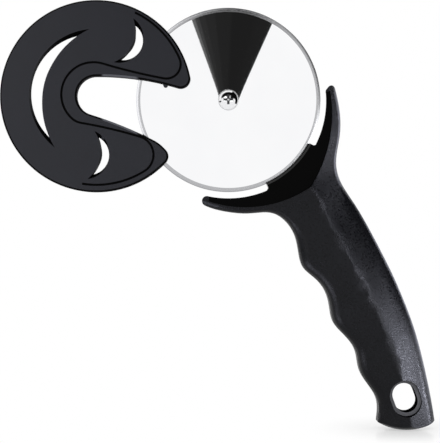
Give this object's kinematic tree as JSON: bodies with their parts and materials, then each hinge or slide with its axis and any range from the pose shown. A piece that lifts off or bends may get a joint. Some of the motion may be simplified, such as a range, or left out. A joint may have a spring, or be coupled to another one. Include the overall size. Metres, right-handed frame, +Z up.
{
  "type": "pizza cutter wheel",
  "caption": "Steel cutting wheel on a one-sided arm, with a curved two-shell handle, horned finger guard, hanging hole and a slip-on C-shaped blade sheath.",
  "frame": {"origin": "middle of the bounding box's foot, with the tool upright as in the picture, standing on the end of its handle", "axes": "+X to the right of the picture, +Y away from the viewer along the wheel's axis, +Z up"},
  "size_m": [0.2118, 0.022, 0.209],
  "materials": {
    "core_gloss": "near-black glossy nylon",
    "grip_textured": "black, fine spark-eroded texture",
    "sheath_matte": "black satin moulding",
    "blade_steel": "mirror-polished stainless steel, ground edge",
    "axle_polished": "polished stainless steel",
    "washer_nylon": "natural acetal",
    "dowel_nylon": "black nylon pin"
  },
  "bodies": {
    "handle": {"core_frame": "core_gloss", "grip_front_shell": "grip_textured", "grip_rear_shell": "grip_textured", "grip_dowels": "dowel_nylon", "axle_screw": "axle_polished", "barrel_nut": "axle_polished", "blade_washer_front": "washer_nylon", "blade_washer_rear": "washer_nylon"},
    "wheel": {"blade": "blade_steel"},
    "sheath": {"sheath_front_shell": "sheath_matte", "sheath_rear_shell": "sheath_matte"}
  },
  "joints": [
    {"name": "blade_spin", "type": "hinge", "parent": "handle", "child": "wheel", "pos_m": [0.00527, 0, 0.16051], "axis": [0, 1, 0], "continuous": true},
    {"name": "sheath_slide", "type": "slide", "parent": "handle", "child": "sheath", "axis": [0.9997, 0, -0.0262], "range_m": [-0.032, 0.01]}
  ]
}
